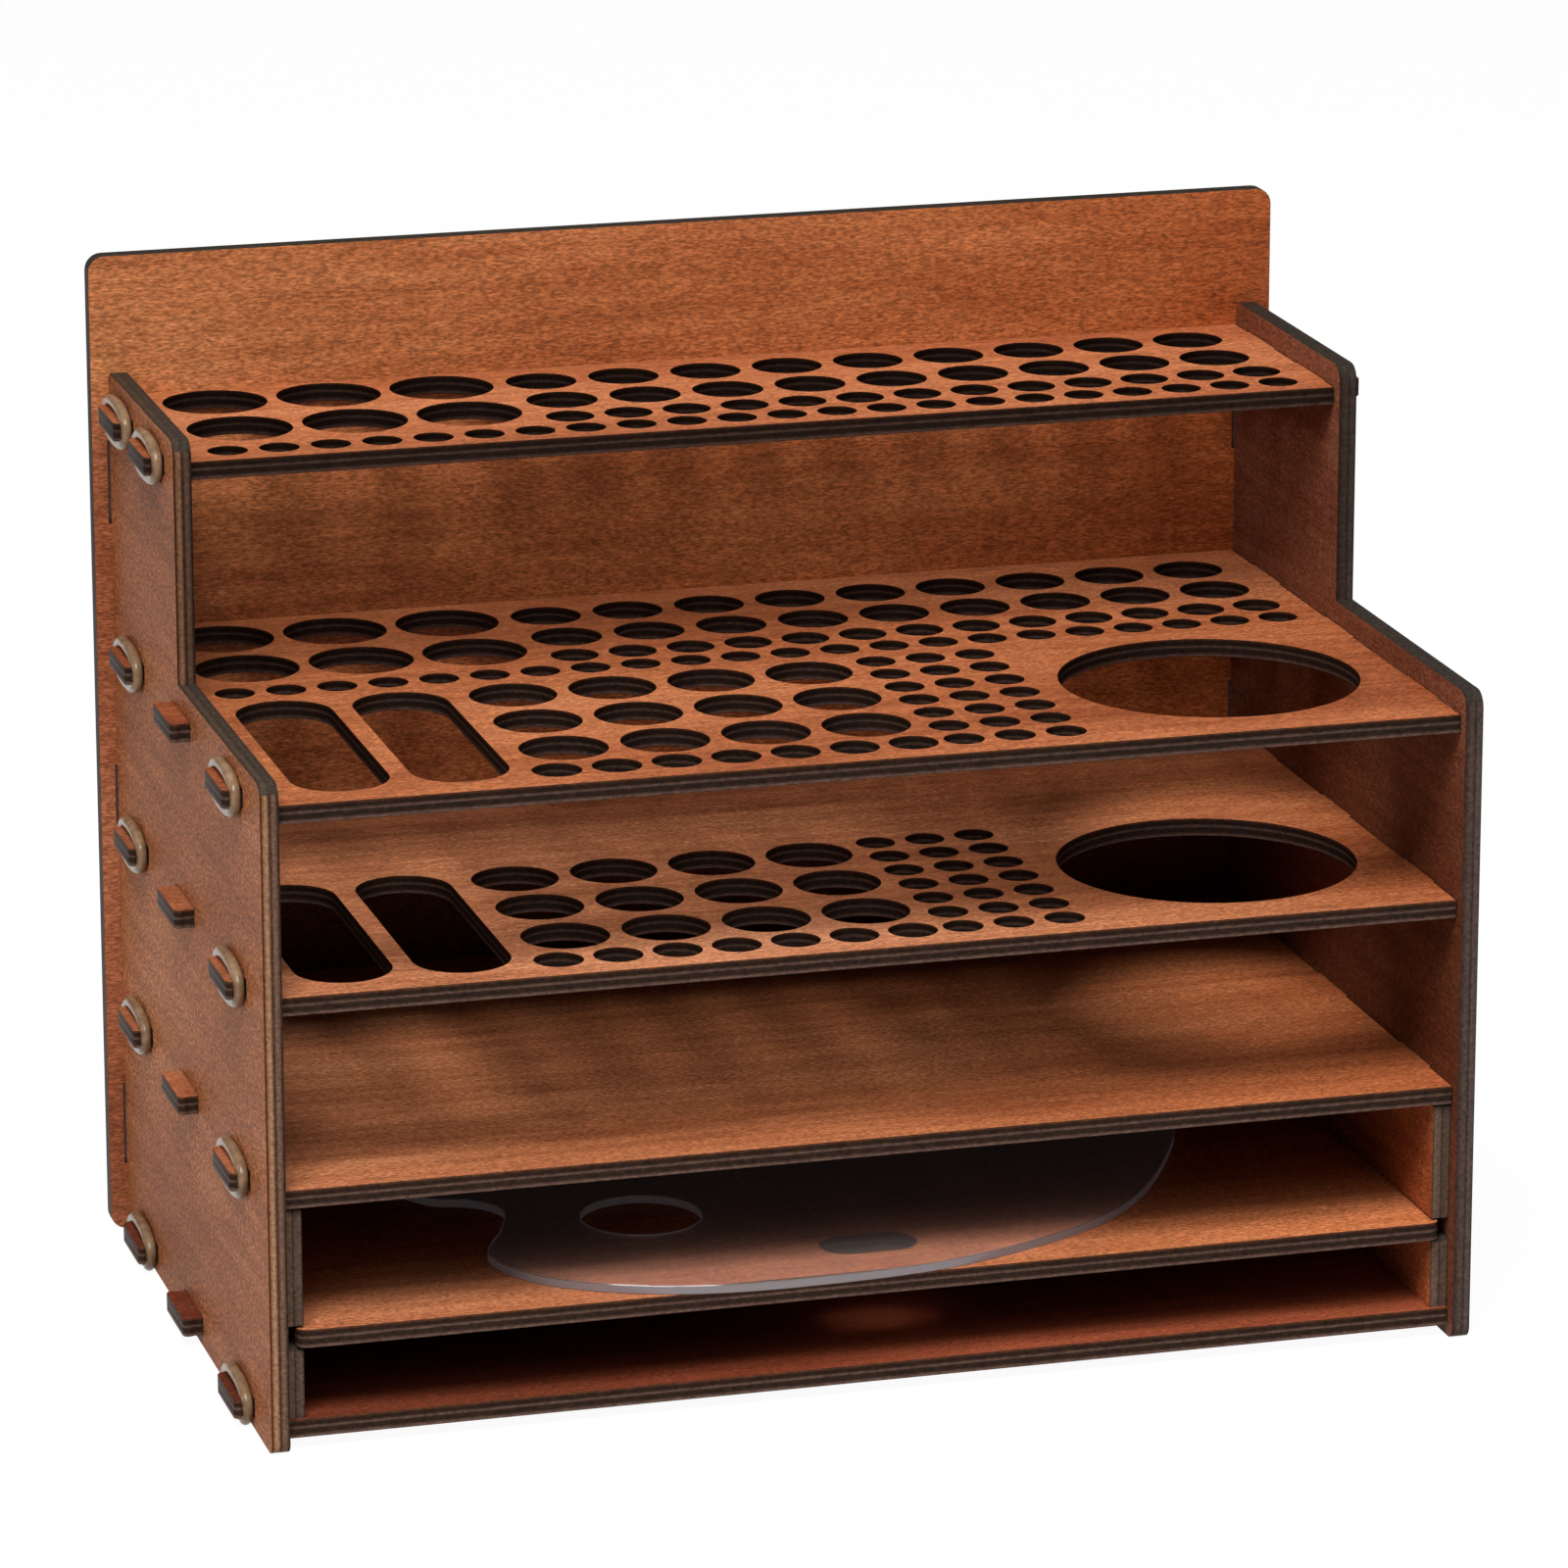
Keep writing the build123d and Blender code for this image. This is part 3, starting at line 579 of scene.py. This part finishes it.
def ring(side, y, tab_z):
    """Round cord carried along a rounded oval: |y / a| ^ n + |z / b| ^ n = 1. The cord's circle
    stands on the oval's own normal, and the oval is held up where the table is."""
    z = tab_z - SAG
    a = np.linspace(0, 2 * np.pi, STEPS_ALONG, endpoint=False)
    oval = np.stack([np.cos(a), np.sin(a)], 1)
    path = RING_REACH * np.sign(oval) * np.abs(oval) ** (2 / OVAL_POWER)
    path[:, 1] = np.maximum(path[:, 1], OVER_TABLE - z + CORD / 2)
    tangent = np.roll(path, -1, 0) - np.roll(path, 1, 0)
    tangent /= np.linalg.norm(tangent, axis=1, keepdims=True)
    out = np.stack([tangent[:, 1], -tangent[:, 0]], 1)
    b = np.linspace(0, 2 * np.pi, STEPS_ROUND, endpoint=False)
    plane = path[:, None] + out[:, None] * (CORD / 2 * np.cos(b))[None, :, None]
    x = side * (SIDE_X + NECK / 2) + CORD / 2 * np.sin(b) * np.ones((STEPS_ALONG, 1))
    verts = np.stack([x, y + plane[..., 0], z + plane[..., 1]], 2).reshape(-1, 3)

    i, j = np.meshgrid(np.arange(STEPS_ALONG), np.arange(STEPS_ROUND), indexing="ij")
    next_i, next_j = (i + 1) % STEPS_ALONG, (j + 1) % STEPS_ROUND
    here, up = i * STEPS_ROUND + j, i * STEPS_ROUND + next_j
    there, both = next_i * STEPS_ROUND + j, next_i * STEPS_ROUND + next_j
    return verts, np.stack([here, there, both, up], 2).reshape(-1, 4)


def rubber():
    """Tan rubber: cloudy tone, fine grit and a soft gloss."""
    material = bpy.data.materials.new("tan_rubber")
    finish = Finish(material)
    place = finish.where()
    grit = finish.noise(place, 2600, 2)
    tone = finish.ramp(finish.noise(place, 260, 3), RUBBER_TONES)
    shader = finish.nodes["Principled BSDF"]
    finish.give(shader, {"Base Color": finish.multiplied(tone, finish.ramp(grit, RUBBER_GRIT), 0.7),
                         "Roughness": 0.35, "Coat Weight": 0.45, "Coat Roughness": 0.14,
                         "Coat IOR": 1.35, "Specular IOR Level": 0.3})
    finish.bump(shader, grit, 0.15, 0.0001)
    return material


TAN_RUBBER = rubber()
for name, (low, high) in SHELVES.items():
    for word, side in (("left", -1), ("right", 1)):
        made = [ring(side, y, (low.z + high.z) / 2)
                for y, width in TABS[name] if width == LOCK_TAB]
        verts = np.concatenate([v for v, q in made])
        quads = np.concatenate([q + k * len(v) for k, (v, q) in enumerate(made)])
        if side < 0:
            quads = quads[:, ::-1]
        mesh = bpy.data.meshes.new(f"{word}_ring_pair_{name}")
        mesh.from_pydata(verts.tolist(), [], quads.tolist())
        mesh.shade_smooth()
        pair = bpy.data.objects.new(mesh.name, mesh)
        bpy.context.scene.collection.objects.link(pair)
        dress(pair, TAN_RUBBER, f"{word}_rings_{name}")

# ---- Groove strips ----
# Four upright strips of plywood, glued inside the side panels. The gap between each lower and
# upper strip is the groove for the pull-out shelf.
STRIP_CORNER = 0.002
STRIP_INNER = (0.85, 0.75, 0.7, 1)
STRIP_EDGE = [(0.0, srgb(60, 48, 42)), (0.12, srgb(112, 90, 76)), (0.42, srgb(100, 80, 68)),
              (0.5, srgb(60, 48, 42)), (0.58, srgb(86, 70, 60)), (0.88, srgb(94, 76, 66)),
              (1.0, srgb(44, 34, 30))]

for word, inwards in (("left", 1), ("right", -1)):
    for level in ("lower", "upper"):
        node = f"{word}_{level}_strip"
        low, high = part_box(node)
        corners = [(low.y, low.z, 0), (high.y, low.z, 0),
                   (high.y, high.z, 0), (low.y, high.z, STRIP_CORNER)]
        strip = plate(node + "_wood", rounded_outline(corners), [],
                      lambda u, v, t: (low.x + t, u, v))
        seed = 30.0 + low.z * 90 + low.x
        wood = plywood(node + "_ply", 1, 0, low.x, SHELF_FACE, STRIP_EDGE, SOOT, seed,
                       inner=(inwards, STRIP_INNER))
        dress(strip, wood, node)

# ---- Pull-out shelf ----
# A board that slides in the grooves, with rounded front corners and an oval finger hole.
BOARD_CORNER = 0.004
FINGER_HOLE = (0.018, 0.032)
FINGER_X, FINGER_FROM_FRONT = 0.0035, 0.026
# Painted light over the board's width: a little darker to the left, brighter and redder to the
# right.
BOARD_PAINTED_LIGHT = [(0.0, (0.94, 0.93, 0.98, 1)), (0.5, (1.04, 1.0, 0.98, 1)),
              (1.0, (1.14, 0.92, 0.76, 1))]

low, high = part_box("pull_out_shelf")
corners = [(low.x, low.y, BOARD_CORNER), (high.x, low.y, BOARD_CORNER),
           (high.x, high.y, 0), (low.x, high.y, 0)]
turned = long_hole(0, 0, *FINGER_HOLE)[:, ::-1] * (1, -1)
finger = turned + (FINGER_X, low.y + FINGER_FROM_FRONT)
board = plate("sliding_board", rounded_outline(corners), [finger],
              lambda u, v, t: (u, v, low.z + t))
wood = plywood("board_ply", 0, 2, low.z, SHELF_FACE, SHELF_EDGE, GLUE_LINE, 27.0, painted_light_across=BOARD_PAINTED_LIGHT)
dress(board, wood, "pull_out_shelf", "pull_out_shelf")

# ---- Palette ----
# A painter's palette of 3 mm clear acrylic with polished edges and a thumb hole. It lies loose on
# the pull-out shelf.
PALETTE_SIZE = (0.272, 0.203)
PALETTE_THICKNESS = 0.003
POLISHED_ARRIS = 0.00025
THUMB_HOLE = 0.0395
THUMB_X, THUMB_FROM_FRONT = -0.0605, 0.075
# The outline in shares of the width, from the middle, and of the depth, from the front.
KIDNEY = np.array([(-0.10, 0.0), (0.12, 0.035), (0.33, 0.185), (0.463, 0.45), (0.495, 0.64),
                   (0.38, 0.875), (0.13, 0.99), (-0.16, 0.985), (-0.39, 0.88), (-0.497, 0.70),
                   (-0.46, 0.555), (-0.405, 0.515), (-0.378, 0.455), (-0.395, 0.37),
                   (-0.432, 0.245), (-0.385, 0.115), (-0.26, 0.025)])
ACRYLIC_TONES = [(0.3, srgb(224, 214, 207)), (0.7, srgb(238, 228, 221))]
POLISHED_EDGE_AND_GLOW = srgb(172, 160, 163)
# Painted glow: on the polished edges, for piped light, and fainter on the faces.
PAINTED_EDGE_GLOW = 0.035
PAINTED_FACE_GLOW = 0.004
LIT_SHADOW = (0.8, 0.78, 0.8, 1)


def smooth_loop(points, steps):
    """Closed cubic through the points: on each span, the Hermite curve whose end slopes are half
    the chord between its neighbours."""
    p1, p2 = points, np.roll(points, -1, 0)
    m1, m2 = (p2 - np.roll(points, 1, 0)) / 2, (np.roll(points, -2, 0) - p1) / 2
    s = np.linspace(0, 1, steps, endpoint=False)[None, :, None]
    curve = ((2 * s**3 - 3 * s**2 + 1) * p1[:, None] + (s**3 - 2 * s**2 + s) * m1[:, None]
             + (3 * s**2 - 2 * s**3) * p2[:, None] + (s**3 - s**2) * m2[:, None])
    return curve.reshape(-1, 2)


def acrylic():
    """Clear acrylic with smears in its gloss, a faint haze on its faces and greyer polished edges.
    A painted glow on the edges stands for light piped through the sheet, and a fainter one on the
    faces for haze. Light passes through its shadow."""
    material = bpy.data.materials.new("clear_acrylic")
    finish = Finish(material)
    smear = finish.noise(finish.where(), 35, 3)
    facing = finish.split(finish.where("Normal"))
    is_face = finish.above(finish.math("ABSOLUTE", facing[2]), 0.6)
    colour = finish.blend("MIX", is_face, POLISHED_EDGE_AND_GLOW, finish.ramp(smear, ACRYLIC_TONES))
    shader = finish.nodes["Principled BSDF"]
    # Emission is painted glow, stronger on the edges than on the faces.
    finish.give(shader, {
        "Base Color": colour, "Roughness": finish.span(smear, 0.0, 1.0, 0.03, 0.16), "IOR": 1.49,
        "Transmission Weight": finish.scaled(is_face, 0.44, 0.5), "Emission Color": POLISHED_EDGE_AND_GLOW,
        "Emission Strength": finish.scaled(is_face, PAINTED_FACE_GLOW - PAINTED_EDGE_GLOW, PAINTED_EDGE_GLOW)})
    shadow_ray = finish.made("ShaderNodeLightPath", {}, "Is Shadow Ray")
    clear = finish.made("ShaderNodeBsdfTransparent", {"Color": LIT_SHADOW})
    both = finish.made("ShaderNodeMixShader", {0: shadow_ray, 1: shader.outputs[0], 2: clear})
    finish.give(finish.nodes["Material Output"], {"Surface": both})
    return material


low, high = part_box("palette")
curve = smooth_loop(KIDNEY, 12)
curve = (curve - (0, curve[:, 1].min())) * PALETTE_SIZE + (0, low.y)
thumb = round_hole(THUMB_X, low.y + THUMB_FROM_FRONT, THUMB_HOLE, 64)
sheet = plate("clear_palette", curve, [thumb], lambda u, v, t: (u, v, low.z + t),
              PALETTE_THICKNESS, POLISHED_ARRIS)
dress(sheet, acrylic(), "palette", "palette")

# ---- Studio ----
# White floor, one large soft light high on the front left, two weaker ones on the left and a sky
# that is brighter overhead, seen through a long lens as in the photograph.
FLOOR_REACH = 30
FLOOR_WHITE = (0.62, 0.62, 0.62, 1)
FLOOR_GLOW, GLOW_SHARE = 1.1, 0.86
SKY_HEIGHT = (0.28, 0.75)
SKY_LIGHT = (0.015, 0.5)

floor_mesh = bpy.data.meshes.new("floor")
floor_corners = [(-FLOOR_REACH, -FLOOR_REACH, 0), (FLOOR_REACH, -FLOOR_REACH, 0),
                 (FLOOR_REACH, FLOOR_REACH, 0), (-FLOOR_REACH, FLOOR_REACH, 0)]
floor_mesh.from_pydata(floor_corners, [], [(0, 1, 2, 3)])
floor = bpy.data.objects.new("floor", floor_mesh)
bpy.context.scene.collection.objects.link(floor)
white = bpy.data.materials.new("white_floor")
finish = Finish(white)
shader = finish.nodes["Principled BSDF"]
finish.give(shader, {"Base Color": FLOOR_WHITE, "Roughness": 0.9, "Specular IOR Level": 0.0})
glow = finish.made("ShaderNodeEmission", {"Strength": FLOOR_GLOW})
path = finish.nodes.new("ShaderNodeLightPath").outputs
seen = finish.math("MAXIMUM", path["Is Camera Ray"], path["Is Transmission Ray"])
seen = finish.math("MAXIMUM", seen, path["Is Glossy Ray"])
share = finish.math("MULTIPLY", seen, GLOW_SHARE)
both = finish.made("ShaderNodeMixShader", {0: share, 1: shader.outputs[0], 2: glow})
finish.give(finish.nodes["Material Output"], {"Surface": both})
floor_mesh.materials.append(white)

world = bpy.data.worlds.new("sky")
bpy.context.scene.world = world
finish = Finish(world)
height = finish.split(finish.where("Generated"))[2]
sky = finish.nodes["Background"]
finish.give(sky, {"Color": (1, 1, 1, 1), "Strength": finish.span(height, *SKY_HEIGHT, *SKY_LIGHT)})
plain = finish.made("ShaderNodeBackground", {})
camera_ray = finish.made("ShaderNodeLightPath", {}, "Is Camera Ray")
both = finish.made("ShaderNodeMixShader", {0: camera_ray, 1: sky.outputs[0], 2: plain})
finish.give(finish.nodes["World Output"], {"Surface": both})


def soft_light(name, place, size, power, target=(0, 0, 0.15)):
    """Square area lamp aimed at the rack."""
    lamp = bpy.data.lights.new(name, "AREA")
    lamp.size = size
    lamp.energy = power
    piece = bpy.data.objects.new(name, lamp)
    piece.location = place
    piece.rotation_euler = (Vector(target) - Vector(place)).to_track_quat("-Z", "Y").to_euler()
    bpy.context.scene.collection.objects.link(piece)


soft_light("key", (-0.46, -0.98, 1.83), 0.9, 37)
soft_light("fill", (-0.9, -1.5, 1.5), 0.8, 4)
soft_light("side", (-2.2, -0.3, 0.9), 1.0, 7)

scene = bpy.context.scene
scene.view_settings.view_transform = "Standard"

# The camera, as solved from the rack's straight edges in the photograph.
YAW, PITCH, ROLL = np.radians([15.646, -15.531, -0.0993])
CAMERA_AT = (-0.683189, FRONT_Y - 2.301918, 0.882976)
SENSOR, LENS = 36, 182.553
SHIFT = (0.01139, -0.02267)
ahead = np.array([np.sin(YAW) * np.cos(PITCH), np.cos(YAW) * np.cos(PITCH), np.sin(PITCH)])
level = np.array([np.cos(YAW), -np.sin(YAW), 0])
above = np.cross(level, ahead)
right = np.cos(ROLL) * level + np.sin(ROLL) * above
up = np.cos(ROLL) * above - np.sin(ROLL) * level
camera = bpy.data.objects.new("camera", bpy.data.cameras.new("camera"))
scene.collection.objects.link(camera)
axes = np.stack([right, up, -ahead, CAMERA_AT], 1)
camera.matrix_world = Matrix([*axes.tolist(), (0, 0, 0, 1)])
camera.data.sensor_width = SENSOR
camera.data.lens = LENS
camera.data.shift_x, camera.data.shift_y = SHIFT
scene.camera = camera
